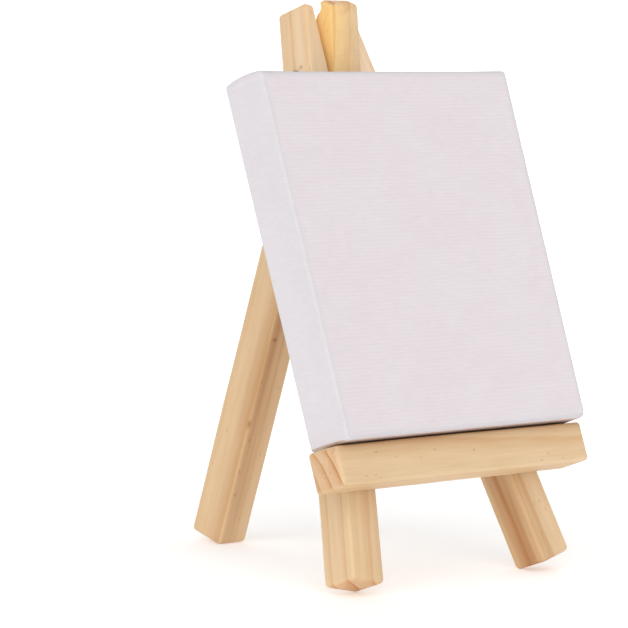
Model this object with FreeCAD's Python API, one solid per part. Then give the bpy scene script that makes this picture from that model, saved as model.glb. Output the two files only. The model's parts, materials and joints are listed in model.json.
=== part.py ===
import FreeCAD
import Part
import math
import os

# Small tabletop display easel in pine, with a stretched canvas standing on its shelf.
# Millimetres. X runs across the easel, +Y to the back, +Z up. The floor is Z = 0.
#
# The front frame is drawn flat in its own plane and then leaned back:
#   u  across, the same as X
#   v  up the sloping front plane, 0 at the top of the shelf
#   w  out of the front plane towards the viewer, 0 on the front faces of the legs

# Lean of the front frame and spread of the rear leg
lean = 20.7                  # front plane from upright, degrees
rear_angle = 37.3            # rear leg from the front plane when open, degrees

# Front legs
leg_width = 9.0
leg_depth = 8.8
leg_edge = 0.8               # rounding of the long edges
left_tilt = 11.6             # spread of each leg from the centre line, degrees
right_tilt = 12.8
left_reach = 28.05           # centre line to the outer edge at shelf level
right_reach = 28.35
toe_v = -28.2                # lowest corner of both feet
tip_v = 98.25                # outer corner of the leg tops
left_mitre = 5.7             # centre line to the cut faces beside the rear leg
right_mitre = 4.4

# Rear leg
rear_width = 8.4
rear_depth = 9.3
rear_edge = 0.8
rear_above_pin = 16.3
bevel_low = (81.11, -0.14)   # v, w where the front bevel starts
bevel_high = (96.65, 3.72)   # v, w where it meets the top

# Pivot pin, a round nail through all three legs
pin_v = 82.6
pin_w = -4.74
pin_radius = 1.0
pin_head_radius = 1.6
pin_head = 0.7
pin_fit = 0.02               # radial, in the front legs
pin_running_fit = 0.05       # radial, in the rear leg
seat_depth = 0.5

# Shelf and the brads that hold it
shelf_length = 76.9
shelf_shift = -0.4           # nailed on a little to the left
shelf_height = 8.9
shelf_depth = 8.6
shelf_edge = 0.7
brad_radius = 0.6
brad_head_radius = 1.2
brad_head = 0.5
brad_length = 13.0
brad_fit = 0.02
brad_v = -4.4

# Stretched canvas
canvas_width = 75.0
canvas_height = 79.0
canvas_depth = 11.2
cloth = 0.45                 # thickness of primed cotton
cloth_corner = 0.9
hem = 5.5                    # width of cloth turned over the back
bar_width = 12.0
seat_gap = 0.02              # canvas to shelf and legs
staple_crown = 6.0
staple_wire = 0.5
staple_leg = 4.0
corner_crown = 9.0
staple_fit = 0.02

cos_lean = math.cos(math.radians(lean))
sin_lean = math.sin(math.radians(lean))


def across(points, w_low, w_high):
    """Solid from an outline in u, v, standing between two w levels."""
    corners = [FreeCAD.Vector(u, v, w_low) for u, v in points]
    wire = Part.makePolygon(corners + [corners[0]])
    return Part.Face(wire).extrude(FreeCAD.Vector(0, 0, w_high - w_low))


def sideways(points, u_low, u_high):
    """Solid from an outline in v, w, running between two u positions."""
    corners = [FreeCAD.Vector(u_low, v, w) for v, w in points]
    wire = Part.makePolygon(corners + [corners[0]])
    return Part.Face(wire).extrude(FreeCAD.Vector(u_high - u_low, 0, 0))


def block(u_low, u_high, v_low, v_high, w_low, w_high):
    """Plain box between two corners in u, v, w."""
    corner = FreeCAD.Vector(u_low, v_low, w_low)
    return Part.makeBox(u_high - u_low, v_high - v_low, w_high - w_low, corner)


def long_edges(solid, shortest):
    """Straight edges longer than a given length."""
    return [edge for edge in solid.Edges if edge.Length > shortest]


# --- Front legs -----------------------------------------------------------

def leg_outline(side, tilt, reach, mitre):
    """Outline of a front leg: square foot, square top, inner side cut upright at the top."""
    slope = math.tan(math.radians(tilt))
    sine = math.sin(math.radians(tilt))
    cosine = math.cos(math.radians(tilt))
    inner_reach = reach - leg_width / cosine
    foot_inner = (inner_reach - toe_v * slope, toe_v)
    foot_outer = (foot_inner[0] + leg_width * cosine, toe_v + leg_width * sine)
    top_outer = (reach - tip_v * slope, tip_v)
    drop = (top_outer[0] - mitre) * slope
    top_inner = (mitre, tip_v - drop)
    mitre_start = (mitre, (inner_reach - mitre) / slope)
    outline = [foot_inner, foot_outer, top_outer, top_inner, mitre_start]
    return [(side * u, v) for u, v in outline]


def leg_centre(side, tilt, reach, v):
    """Middle of a front leg at a height v, as a u position."""
    radians = math.radians(tilt)
    return side * (reach - v * math.tan(radians) - 0.5 * leg_width / math.cos(radians))


def make_leg(side, tilt, reach, mitre):
    """Front leg with its pin hole and its brad hole."""
    solid = across(leg_outline(side, tilt, reach, mitre), -leg_depth, 0.0)
    solid = solid.makeFillet(leg_edge, long_edges(solid, 60.0))
    pin_hole = Part.makeCylinder(
        pin_radius + pin_fit, 60.0, FreeCAD.Vector(-30.0, pin_v, pin_w), FreeCAD.Vector(1, 0, 0))
    solid = solid.cut(pin_hole)
    centre = leg_centre(side, tilt, reach, brad_v)
    brad_hole = Part.makeCylinder(
        brad_radius + brad_fit, leg_depth + 2.0, FreeCAD.Vector(centre, brad_v, -leg_depth - 1.0))
    head_seat = Part.makeCylinder(
        brad_head_radius + brad_fit, brad_head + 1.0, FreeCAD.Vector(centre, brad_v, -leg_depth - 1.0))
    return solid.cut(brad_hole).cut(head_seat)


left_leg = make_leg(-1, left_tilt, left_reach, left_mitre)
right_leg = make_leg(1, right_tilt, right_reach, right_mitre)

# The pin head sits in a small flat seat in the outer side of the left leg.
left_face_at_pin = -(left_reach - pin_v * math.tan(math.radians(left_tilt)))
right_face_at_pin = right_reach - pin_v * math.tan(math.radians(right_tilt))
seat_u = left_face_at_pin + seat_depth
head_seat = Part.makeCylinder(
    pin_head_radius + pin_fit, 4.0, FreeCAD.Vector(seat_u, pin_v, pin_w), FreeCAD.Vector(-1, 0, 0))
left_leg = left_leg.cut(head_seat)


# --- Rear leg -------------------------------------------------------------

axis_v = math.cos(math.radians(rear_angle))
axis_w = math.sin(math.radians(rear_angle))


def rear_point(along, out):
    """Point on the rear leg: along its axis above the pin, and out to its front face."""
    return (pin_v + along * axis_v - out * axis_w, pin_w + along * axis_w + out * axis_v)


def ground_height(v, w):
    """Height of a point of the front plane above the shelf corner, before the floor is set."""
    return v * cos_lean + w * sin_lean


def foot_rounding(tilt):
    """How far the rounded back edge lifts the lowest point of a square-cut foot."""
    inward = cos_lean * math.sin(math.radians(tilt))
    return leg_edge * (inward + sin_lean - math.hypot(inward, sin_lean))


floor_level = ground_height(toe_v, -leg_depth) + foot_rounding(left_tilt)
half_rear = 0.5 * rear_depth
front_at_pin = ground_height(*rear_point(0.0, half_rear))
drop_per_length = math.cos(math.radians(rear_angle - lean))
rear_below_pin = (front_at_pin - floor_level) / drop_per_length

rear_outline = [
    rear_point(-rear_below_pin, -half_rear),
    rear_point(-rear_below_pin, half_rear),
    bevel_low,
    bevel_high,
    rear_point(rear_above_pin, -half_rear),
]
rear_leg = sideways(rear_outline, -0.5 * rear_width, 0.5 * rear_width)
rear_leg = rear_leg.makeFillet(rear_edge, long_edges(rear_leg, 60.0))
pin_bore = Part.makeCylinder(
    pin_radius + pin_running_fit, 30.0, FreeCAD.Vector(-15.0, pin_v, pin_w), FreeCAD.Vector(1, 0, 0))
rear_leg = rear_leg.cut(pin_bore)


# --- Pivot pin ------------------------------------------------------------

pin_end = right_face_at_pin + 0.3
pin_shank = Part.makeCylinder(
    pin_radius, pin_end - seat_u, FreeCAD.Vector(seat_u, pin_v, pin_w), FreeCAD.Vector(1, 0, 0))
pin_cap = Part.makeCylinder(
    pin_head_radius, pin_head, FreeCAD.Vector(seat_u - pin_head, pin_v, pin_w), FreeCAD.Vector(1, 0, 0))
pivot_pin = pin_shank.fuse(pin_cap).removeSplitter()


# --- Shelf and brads ------------------------------------------------------

half_shelf = 0.5 * shelf_length
shelf = block(shelf_shift - half_shelf, shelf_shift + half_shelf, -shelf_height, 0.0, 0.0, shelf_depth)
shelf = shelf.makeFillet(shelf_edge, long_edges(shelf, 60.0))

brads = []
for side, tilt, reach in ((-1, left_tilt, left_reach), (1, right_tilt, right_reach)):
    centre = leg_centre(side, tilt, reach, brad_v)
    start = FreeCAD.Vector(centre, brad_v, -leg_depth + brad_head)
    hole = Part.makeCylinder(brad_radius + brad_fit, brad_length - leg_depth + 0.2,
                             FreeCAD.Vector(centre, brad_v, -0.1))
    shelf = shelf.cut(hole)
    shank = Part.makeCylinder(brad_radius, brad_length - brad_head, start)
    head = Part.makeCylinder(brad_head_radius, brad_head, FreeCAD.Vector(centre, brad_v, -leg_depth))
    brads.append(shank.fuse(head).removeSplitter())


# --- Stretched canvas -----------------------------------------------------

half_canvas = 0.5 * canvas_width
canvas_low = seat_gap
canvas_high = canvas_low + canvas_height
canvas_back = seat_gap
canvas_front = canvas_back + canvas_depth

bar_u = half_canvas - cloth
bar_low = canvas_low + cloth
bar_high = canvas_high - cloth
bar_back = canvas_back + cloth
bar_front = canvas_front - cloth
inner_u = bar_u - bar_width
inner_low = bar_low + bar_width
inner_high = bar_high - bar_width

bars = {
    "stretcher_top": [(-bar_u, bar_high), (bar_u, bar_high), (inner_u, inner_high), (-inner_u, inner_high)],
    "stretcher_bottom": [(-bar_u, bar_low), (bar_u, bar_low), (inner_u, inner_low), (-inner_u, inner_low)],
    "stretcher_left": [(-bar_u, bar_low), (-inner_u, inner_low), (-inner_u, inner_high), (-bar_u, bar_high)],
    "stretcher_right": [(bar_u, bar_low), (inner_u, inner_low), (inner_u, inner_high), (bar_u, bar_high)],
}
bar_solids = {name: across(outline, bar_back, bar_front) for name, outline in bars.items()}

# The cloth wraps the front and sides and turns over the back in a hem.
cover = block(-half_canvas, half_canvas, canvas_low, canvas_high, canvas_back, canvas_front)
front_rim = [
    edge for edge in cover.Edges
    if edge.CenterOfMass.z > canvas_front - 0.01 or abs(edge.CenterOfMass.z - 0.5 * (
        canvas_front + canvas_back)) < 0.01
]
cover = cover.makeFillet(cloth_corner, front_rim)
core = block(-bar_u, bar_u, bar_low, bar_high, bar_back, bar_front)
core = core.makeFillet(cloth_corner - cloth, [
    edge for edge in core.Edges
    if edge.CenterOfMass.z > bar_front - 0.01 or abs(edge.CenterOfMass.z - 0.5 * (
        bar_front + bar_back)) < 0.01
])
window = block(-half_canvas + hem, half_canvas - hem, canvas_low + hem, canvas_high - hem,
               canvas_back - 1.0, bar_back + 1.0)
canvas_cloth = cover.cut(core).cut(window)
bar_solids = {name: solid.common(core) for name, solid in bar_solids.items()}


def staple(u, v, along_u, crown, back):
    """Wire staple driven forwards into the bars, its crown lying at the given w."""
    half = 0.5 * crown
    wire = staple_wire
    if along_u:
        bridge = block(u - half, u + half, v - 0.5 * wire, v + 0.5 * wire, back, back + wire)
        near = block(u - half, u - half + wire, v - 0.5 * wire, v + 0.5 * wire, back, back + staple_leg)
        far = block(u + half - wire, u + half, v - 0.5 * wire, v + 0.5 * wire, back, back + staple_leg)
    else:
        bridge = block(u - 0.5 * wire, u + 0.5 * wire, v - half, v + half, back, back + wire)
        near = block(u - 0.5 * wire, u + 0.5 * wire, v - half, v - half + wire, back, back + staple_leg)
        far = block(u - 0.5 * wire, u + 0.5 * wire, v + half - wire, v + half, back, back + staple_leg)
    return bridge.fuse([near, far]).removeSplitter()


hem_middle = 0.55 * hem
middle_v = 0.5 * (canvas_low + canvas_high)
hem_staples = []
for side in (-1, 1):
    for step in (-1, 0, 1):
        hem_staples.append(staple(
            side * (half_canvas - hem_middle), middle_v + step * 22.0, False, staple_crown, canvas_back))
        hem_staples.append(staple(
            step * 21.0, middle_v + side * (0.5 * canvas_height - hem_middle), True, staple_crown,
            canvas_back))

# One longer staple closes each mitred corner of the bars, inside the hem.
corner_staples = []
for side_u in (-1, 1):
    for side_v in (-1, 1):
        corner_u = side_u * (inner_u + 2.6)
        corner_v = middle_v + side_v * (0.5 * (inner_high - inner_low) + 2.6)
        plain = staple(corner_u, corner_v, True, corner_crown, bar_back)
        turn = 45.0 if side_u * side_v < 0 else -45.0
        plain.rotate(FreeCAD.Vector(corner_u, corner_v, 0), FreeCAD.Vector(0, 0, 1), turn)
        corner_staples.append(plain)

staple_cutter = hem_staples + corner_staples
for one in staple_cutter:
    canvas_cloth = canvas_cloth.cut(one)
    for name in bar_solids:
        bar_solids[name] = bar_solids[name].cut(one)


# --- Place everything and write one file for each sub-part ----------------

nodes = {
    "left_front_leg": left_leg,
    "right_front_leg": right_leg,
    "shelf": shelf,
    "shelf_brads": Part.makeCompound(brads),
    "pivot_pin": pivot_pin,
    "rear_leg": rear_leg,
    "canvas_cloth": canvas_cloth,
    "hem_staples": Part.makeCompound(hem_staples),
    "corner_staples": Part.makeCompound(corner_staples),
}
nodes.update(bar_solids)

turn_upright = FreeCAD.Rotation(FreeCAD.Vector(1, 0, 0), 90.0 - lean)
for name, shape in nodes.items():
    shape.Placement = FreeCAD.Placement(FreeCAD.Vector(0, 0, -floor_level), turn_upright)

whole = Part.makeCompound(list(nodes.values())).BoundBox
shift = FreeCAD.Vector(-0.5 * (whole.XMin + whole.XMax), -0.5 * (whole.YMin + whole.YMax), -whole.ZMin)

os.makedirs("parts", exist_ok=True)
for name, shape in nodes.items():
    shape.translate(shift)
    shape.exportStep("parts/" + name + ".step")
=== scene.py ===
import json
import math

import bmesh
import bpy
from bpy.props import FloatProperty, FloatVectorProperty, PointerProperty
from mathutils import Euler, Matrix, Vector, noise


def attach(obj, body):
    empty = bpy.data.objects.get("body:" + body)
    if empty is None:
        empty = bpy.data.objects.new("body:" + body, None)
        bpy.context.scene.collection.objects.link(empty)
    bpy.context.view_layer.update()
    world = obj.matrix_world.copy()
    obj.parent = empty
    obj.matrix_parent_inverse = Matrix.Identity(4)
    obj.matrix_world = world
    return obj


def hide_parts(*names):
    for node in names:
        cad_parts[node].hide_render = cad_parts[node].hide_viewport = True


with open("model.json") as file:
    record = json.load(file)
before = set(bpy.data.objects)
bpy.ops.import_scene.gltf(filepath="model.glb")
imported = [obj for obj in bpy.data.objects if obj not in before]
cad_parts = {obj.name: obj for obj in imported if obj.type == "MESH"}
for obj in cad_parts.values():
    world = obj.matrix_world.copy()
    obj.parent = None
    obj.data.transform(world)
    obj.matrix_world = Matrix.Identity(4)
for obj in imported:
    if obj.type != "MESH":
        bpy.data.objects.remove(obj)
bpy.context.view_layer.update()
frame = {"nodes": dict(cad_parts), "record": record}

bl_info = {
    "name": "Tabletop display easel",
    "version": (1, 0, 0),
    "blender": (4, 5, 0),
    "location": "View3D > Sidebar > Easel",
    "description": "Builds a small pine easel with a folding rear leg and a stretched canvas",
    "category": "Object",
}

MM = 0.001
JOINTS = {joint["name"]: joint for joint in frame["record"]["behaviour"]["joints"]}
PIN = Vector(JOINTS["rear_fold"]["pos_m"])


# How each stick lies in its tree: heart of the rings from the stick's middle (its own side and face
# directions), gap between rings, a start along the grain that keeps the sticks from matching, and how
# far the rings run out to the side and face per length of stick.
WOOD = {
    "left": ((15.0 * MM, -24.0 * MM), 4.1 * MM, 0.2, (0.012, -0.010)),
    "right": ((14.0 * MM, -12.0 * MM), 5.2 * MM, 0.9, (0.004, 0.008)),
    "rear": ((21.0 * MM, -3.0 * MM), 4.6 * MM, 1.7, (0.0, 0.0)),
    "shelf": ((-6.8 * MM, -19.4 * MM), 3.24 * MM, 2.6, (0.0, 0.02)),
}

# Patches of other tone in a stick: 0 red heartwood, 1 honey, 2 pale sapwood; the rows marked below are
# painted light or painted shade. Then the middle (side, face, along), reach each way, both in mm, and
# strength.
TONES = (
    ("left", 0, (-4.5, 4.4, 50.0), (2.6, 2.6, 400.0), 0.25),
    ("left", 2, (4.5, 2.0, 128.0), (6.0, 6.0, 26.0), 0.42),
    # right leg's inner face: red heartwood, and also painted shade below the shelf
    ("right", 0, (4.5, 0.6, 10.0), (4.2, 4.2, 75.0), 1.05),
    # painted light: a pale patch at the top of the right leg's front, lightening where the rear leg shades it
    ("right", 2, (0.0, 4.4, 128.0), (10.0, 10.0, 34.0), 1.4),
    ("rear", 0, (2.2, 4.7, -60.0), (3.0, 3.0, 62.0), 0.80),
    # painted light: a honey patch on the rear leg's left face near its top, for light bounced between the
    # legs
    ("rear", 1, (4.4, 0.0, 12.0), (0.7, 9.0, 18.0), 1.15),
    # painted light: a pale patch on the front of the rear leg near its top, lightening the shaded crevice
    ("rear", 2, (-1.0, 4.7, 12.0), (3.5, 6.0, 16.0), 0.80),
    ("shelf", 0, (4.4, 4.3, 0.0), (1.8, 1.8, 400.0), 0.40),
)

# Knots, checks and dents: the stick, place (side, face, along), spread each way in mm, and strength.
MARKS = (
    ("left", (4.5, 1.62, 113.1), (0.9, 0.75, 0.65), 0.50),
    ("shelf", (1.9, 4.3, -27.1), (0.22, 0.6, 0.85), 0.50),
    ("shelf", (0.3, 4.3, 2.4), (0.40, 0.6, 0.42), 0.45),
    ("rear", (2.5, 4.65, -59.1), (1.00, 0.6, 0.65), 0.85),
    ("rear", (3.3, 4.65, -69.0), (0.30, 0.6, 0.70), 0.45),
    ("rear", (3.8, 4.4, -79.2), (0.60, 0.6, 1.30), 0.80),
    ("rear", (2.7, 4.65, -83.0), (0.34, 0.6, 0.60), 0.60),
    ("rear", (3.4, 4.65, -90.6), (0.30, 0.6, 0.95), 0.50),
    ("rear", (2.9, 4.65, -96.2), (0.50, 0.6, 0.60), 0.65),
    ("rear", (4.2, -1.3, -82.9), (0.6, 0.25, 0.70), 0.45),
    ("right", (-1.2, 4.4, 12.0), (0.30, 0.6, 0.55), 0.35),
)

# The bevel on the front of the rear leg, up and out of the front frame, at its lower and upper ends.
BEVEL_LOW = (81.11 * MM, -0.14 * MM)
BEVEL_HIGH = (96.65 * MM, 3.72 * MM)

# The cloth: clearance over the shelf, rounding at the front and back edges, and rows of each stretch.
CLOTH_BASE = 0.02 * MM
CLOTH_RIM = 0.8 * MM
CLOTH_TURN_BACK = 0.6 * MM
FACE_COLUMNS, FACE_ROWS = 70, 74
RIM_STEPS, WALL_STEPS, BACK_STEPS, HEM_STEPS = 6, 14, 5, 6

# The camera, placed in millimetres along the front frame's own directions, and turned in the room's.
CAMERA_PLACE = (-606.244, -100.558, 552.470)
CAMERA_TURN = (84.78224, -1.71166, -45.66492)
CAMERA_LENS = 223.088

# --- What a user can change -----------------------------------------------

def length(name, text, value):
    """A length property in metres from a value in millimetres."""
    return FloatProperty(name=name, description=text, default=value * MM, unit="LENGTH", precision=5)


def angle(name, text, degrees):
    """An angle property from degrees."""
    return FloatProperty(name=name, description=text, default=math.radians(degrees), unit="ROTATION")


def colour(name, text, value):
    """A colour property, linear red, green and blue."""
    return FloatVectorProperty(
        name=name, description=text, default=value, subtype="COLOR", size=3, min=0.0, max=1.0)


class EaselSizes(bpy.types.PropertyGroup):
    lean: angle("Lean", "Lean of the front frame from upright", 20.7)
    rear_angle: angle("Rear angle", "Open angle between the rear leg and the front frame", 37.3)
    pin_height: length("Pin height", "Shelf top to the pin, up the front frame", 82.6)
    pin_depth: length("Pin depth", "Front of the legs back to the pin", 4.74)
    leg_width: length("Leg width", "Width of a front leg", 9.0)
    leg_depth: length("Leg depth", "Depth of a front leg", 8.8)
    left_tilt: angle("Left spread", "Spread of the left front leg", 11.6)
    right_tilt: angle("Right spread", "Spread of the right front leg", 12.8)
    left_reach: length("Left reach", "Centre line to the left leg's outer edge at the shelf", 28.05)
    right_reach: length("Right reach", "Centre line to the right leg's outer edge at the shelf", 28.35)
    toe: length("Toe", "Shelf top down to the lowest corner of the feet", 28.2)
    tip: length("Tip", "Shelf top up to the outer corner of the leg tops", 98.25)
    left_mitre: length("Left mitre", "Centre line to the cut face of the left leg", 5.7)
    right_mitre: length("Right mitre", "Centre line to the cut face of the right leg", 4.4)
    rear_width: length("Rear width", "Width of the rear leg", 8.4)
    rear_depth: length("Rear depth", "Depth of the rear leg", 9.3)
    rear_top: length("Rear top", "Pin to the top of the rear leg", 16.3)
    rear_foot: length("Rear foot", "Pin to the foot of the rear leg", 108.148)
    shelf_length: length("Shelf length", "Length of the shelf", 76.9)
    shelf_shift: length("Shelf shift", "Middle of the shelf from the centre line", -0.4)
    shelf_height: length("Shelf height", "Height of the shelf's front", 8.9)
    shelf_depth: length("Shelf depth", "Depth of the shelf", 8.6)
    stick_edge: length("Stick edge", "Rounding of the long edges of the sticks", 0.8)
    end_round: length("End rounding", "Rounding of the ends of the sticks", 1.0)
    canvas_width: length("Canvas width", "Width of the canvas", 75.0)
    canvas_height: length("Canvas height", "Height of the canvas", 79.0)
    canvas_depth: length("Canvas depth", "Depth of the canvas", 11.2)
    cloth: length("Cloth", "Thickness of the primed cloth", 0.45)
    hem: length("Hem", "Cloth turned over the back", 5.5)
    bar_width: length("Bar width", "Width of the stretcher bars", 12.0)


class EaselColours(bpy.types.PropertyGroup):
    early_wood: colour("Pale wood", "Pale spring wood of the pine", (0.77, 0.575, 0.365))
    late_wood: colour("Ring lines", "Darker summer wood of the pine", (0.66, 0.375, 0.165))
    bar_wood: colour("Bar wood", "Wood of the stretcher bars", (0.70, 0.52, 0.32))
    primer: colour("Primer", "White primer on the cloth", (0.79, 0.735, 0.760))
    raw_cloth: colour("Raw cloth", "Back of the cloth, unprimed", (0.66, 0.60, 0.50))
    steel: colour("Steel", "Bright wire of nails and staples", (0.56, 0.55, 0.53))
    nail: colour("Nails", "Dull steel of the pin and brads", (0.23, 0.20, 0.175))
    floor: colour("Floor", "Floor of the stage", (0.88, 0.88, 0.885))


def sizes():
    """The sizes in use."""
    return bpy.context.scene.easel_sizes


def colours():
    """The colours in use."""
    return bpy.context.scene.easel_colours


# --- Places on the leaning front frame ------------------------------------

def frame_axes():
    """Across, up the front frame, and out of it, as unit vectors."""
    lean = sizes().lean
    up = Vector((0.0, math.sin(lean), math.cos(lean)))
    out = Vector((0.0, -math.cos(lean), math.sin(lean)))
    return Vector((1.0, 0.0, 0.0)), up, out


def frame_matrix():
    """Takes u across, v up from the shelf top and w out from the leg fronts to the room."""
    across, up, out = frame_axes()
    size = sizes()
    base = PIN - up * size.pin_height + out * size.pin_depth
    matrix = Matrix((across, up, out)).transposed().to_4x4()
    matrix.translation = base
    return matrix


# --- Materials ------------------------------------------------------------

def new_material(name):
    """A node material with its Principled shader."""
    material = bpy.data.materials.new(name)
    material.use_nodes = True
    shader = material.node_tree.nodes["Principled BSDF"]
    return material, material.node_tree, shader


def node(tree, kind, **values):
    """Adds a node and sets its options and its unlinked inputs."""
    made = tree.nodes.new(kind)
    for key, value in values.items():
        if key in made.inputs:
            made.inputs[key].default_value = value
        else:
            setattr(made, key, value)
    return made


def maths(tree, operation, first, second=None, third=None, clamp=False):
    """A math node; each input is a socket or a number."""
    made = tree.nodes.new("ShaderNodeMath")
    made.operation = operation
    made.use_clamp = clamp
    for index, value in enumerate((first, second, third)):
        if value is None:
            continue
        if isinstance(value, (int, float)):
            made.inputs[index].default_value = value
        else:
            tree.links.new(value, made.inputs[index])
    return made.outputs[0]


def ramp(tree, factor, stops, smooth=False):
    """A colour ramp with (place, colour) stops; a number stands for a grey."""
    made = tree.nodes.new("ShaderNodeValToRGB")
    band = made.color_ramp
    if smooth:
        band.interpolation = "EASE"
    while len(band.elements) < len(stops):
        band.elements.new(0.5)
    for element, (place, value) in zip(band.elements, stops):
        element.position = place
        if isinstance(value, (int, float)):
            value = (value, value, value)
        element.color = (*value, 1.0)
    tree.links.new(factor, made.inputs[0])
    return made.outputs[0]


def mix(tree, kind, factor, first, second):
    """A colour mix; inputs are sockets or colours."""
    made = tree.nodes.new("ShaderNodeMix")
    made.data_type = "RGBA"
    made.blend_type = kind
    made.clamp_result = False
    for index, value in ((0, factor), (6, first), (7, second)):
        if isinstance(value, (int, float)):
            made.inputs[index].default_value = value
        elif isinstance(value, (tuple, list, Vector)) or hasattr(value, "hsv"):
            made.inputs[index].default_value = (*tuple(value)[:3], 1.0)
        else:
            tree.links.new(value, made.inputs[index])
    return made.outputs[2]


def wood_material(name, pale, line, marks):
    """Bare sanded pine. Rings and fibres follow the grain coordinates stored on each stick."""
    material, tree, shader = new_material(name)
    link = tree.links.new
    grain = node(tree, "ShaderNodeAttribute", attribute_name="grain").outputs["Vector"]
    ends_edges_and_rings = node(tree, "ShaderNodeSeparateXYZ")
    link(node(tree, "ShaderNodeAttribute", attribute_name="ends_edges_and_rings").outputs["Vector"], ends_edges_and_rings.inputs[0])
    sawn, rubbed_edge_and_highlight, ring_gap = ends_edges_and_rings.outputs

    def stretched(across, along, detail, seed=0.0):
        """Noise drawn out along the grain."""
        place = node(tree, "ShaderNodeMapping")
        place.inputs["Scale"].default_value = (across, across, along)
        place.inputs["Location"].default_value = (seed, seed, seed)
        link(grain, place.inputs["Vector"])
        made = node(tree, "ShaderNodeTexNoise", Scale=1.0, Detail=detail, Roughness=0.55)
        link(place.outputs[0], made.inputs["Vector"])
        return made.outputs[0]

    # rings wander slowly along the stick and never run quite true
    parts = node(tree, "ShaderNodeSeparateXYZ")
    link(grain, parts.inputs[0])
    across_sq = maths(tree, "MULTIPLY", parts.outputs[0], parts.outputs[0])
    depth_sq = maths(tree, "MULTIPLY", parts.outputs[1], parts.outputs[1])
    radius = maths(tree, "SQRT", maths(tree, "ADD", across_sq, depth_sq))
    slow = maths(tree, "SUBTRACT", stretched(70.0, 12.0, 1.5), 0.5)
    radius = maths(tree, "MULTIPLY_ADD", slow, 0.0016, radius)
    ragged = maths(tree, "SUBTRACT", stretched(900.0, 60.0, 2.0, 3.0), 0.5)
    radius = maths(tree, "MULTIPLY_ADD", ragged, 0.00022, radius)
    rings = maths(tree, "DIVIDE", radius, ring_gap)
    phase = maths(tree, "FRACT", rings)
    year = node(tree, "ShaderNodeTexWhiteNoise", noise_dimensions="1D")
    link(maths(tree, "FLOOR", rings), year.inputs["W"])
    year_strength = maths(tree, "MULTIPLY_ADD", year.outputs["Value"], 0.5, 0.5)

    # each ring darkens slowly and ends sharply
    late = ramp(tree, phase, [(0.0, 0.35), (0.04, 0.0), (0.50, 0.05), (0.82, 0.42), (0.93, 0.95), (0.97, 1.0),
                              (1.0, 0.35)])
    late_amount = maths(tree, "MULTIPLY", late, year_strength)
    strength = maths(tree, "MULTIPLY_ADD", sawn, 0.40, 0.60)
    base = mix(tree, "MIX", maths(tree, "MULTIPLY", late_amount, strength), pale, line)
    # tone patches: darker red, honey and pale; some are the wood's own tone and some are painted light and
    # painted shade
    wood_tone_and_painted_light = node(tree, "ShaderNodeSeparateXYZ")
    link(node(tree, "ShaderNodeAttribute", attribute_name="wood_tone_and_painted_light").outputs["Vector"], wood_tone_and_painted_light.inputs[0])
    uneven = maths(tree, "MULTIPLY_ADD", stretched(300.0, 10.0, 2.0, 6.0), 3.0, -0.45, clamp=True)
    for kind, tone in enumerate(((0.64, 0.47, 0.35), (1.28, 1.21, 0.80), (1.24, 1.28, 1.42))):
        patchy = maths(tree, "MULTIPLY", wood_tone_and_painted_light.outputs[kind], uneven if kind == 0 else 1.0)
        patchy = maths(tree, "MINIMUM", patchy, 1.0)
        base = mix(tree, "MIX", patchy, base, mix(tree, "MULTIPLY", 1.0, base, tone))

    # faint streaks, long fibres and honey-toned blotches
    streak = stretched(520.0, 16.0, 3.0)
    tone = ramp(tree, streak, [(0.32, (0.955, 0.93, 0.89)), (0.68, (1.02, 1.025, 1.03))])
    base = mix(tree, "MULTIPLY", 1.0, base, tone)
    fibre = stretched(3200.0, 110.0, 3.0)
    tone = ramp(tree, fibre, [(0.30, (0.955, 0.94, 0.92)), (0.62, (1.01, 1.01, 1.01))])
    base = mix(tree, "MULTIPLY", 1.0, base, tone)
    blotch = stretched(120.0, 36.0, 2.0, 9.0)
    tone = ramp(tree, blotch, [(0.35, (0.975, 0.945, 0.90)), (0.65, (1.012, 1.018, 1.025))])
    base = mix(tree, "MULTIPLY", 1.0, base, tone)

    # tiny resin specks, longer along the grain
    pit_map = node(tree, "ShaderNodeMapping")
    pit_map.inputs["Scale"].default_value = (1500.0, 1500.0, 520.0)
    link(grain, pit_map.inputs["Vector"])
    pit = node(tree, "ShaderNodeTexVoronoi", feature="F1", Scale=1.0)
    link(pit_map.outputs[0], pit.inputs["Vector"])
    pick = node(tree, "ShaderNodeSeparateColor")
    link(pit.outputs["Color"], pick.inputs[0])
    few = maths(tree, "LESS_THAN", pick.outputs[0], 0.035)
    near = ramp(tree, pit.outputs["Distance"], [(0.0, 1.0), (0.2, 0.6), (0.36, 0.0)])
    speck = maths(tree, "MULTIPLY", few, near)
    base = mix(tree, "MIX", maths(tree, "MULTIPLY", speck, 0.38), base, (0.36, 0.19, 0.08))

    # knots, checks and dents at their own places
    torn = stretched(2400.0, 900.0, 2.0, 5.0)
    scar = None
    for centre, spread, depth in marks:
        away = node(tree, "ShaderNodeVectorMath", operation="SUBTRACT")
        link(grain, away.inputs[0])
        away.inputs[1].default_value = centre
        scaled = node(tree, "ShaderNodeVectorMath", operation="DIVIDE")
        link(away.outputs[0], scaled.inputs[0])
        scaled.inputs[1].default_value = tuple(axis * MM for axis in spread)
        reach = node(tree, "ShaderNodeVectorMath", operation="LENGTH")
        link(scaled.outputs[0], reach.inputs[0])
        rough_reach = maths(tree, "MULTIPLY_ADD", torn, 0.9, reach.outputs["Value"])
        amount = ramp(tree, maths(tree, "SUBTRACT", rough_reach, 0.45),
                      [(0.0, depth), (0.45, 0.7 * depth), (1.0, 0.0)])
        scar = amount if scar is None else maths(tree, "MAXIMUM", scar, amount)
    if scar is not None:
        base = mix(tree, "MIX", scar, base, (0.33, 0.155, 0.06))
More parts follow.
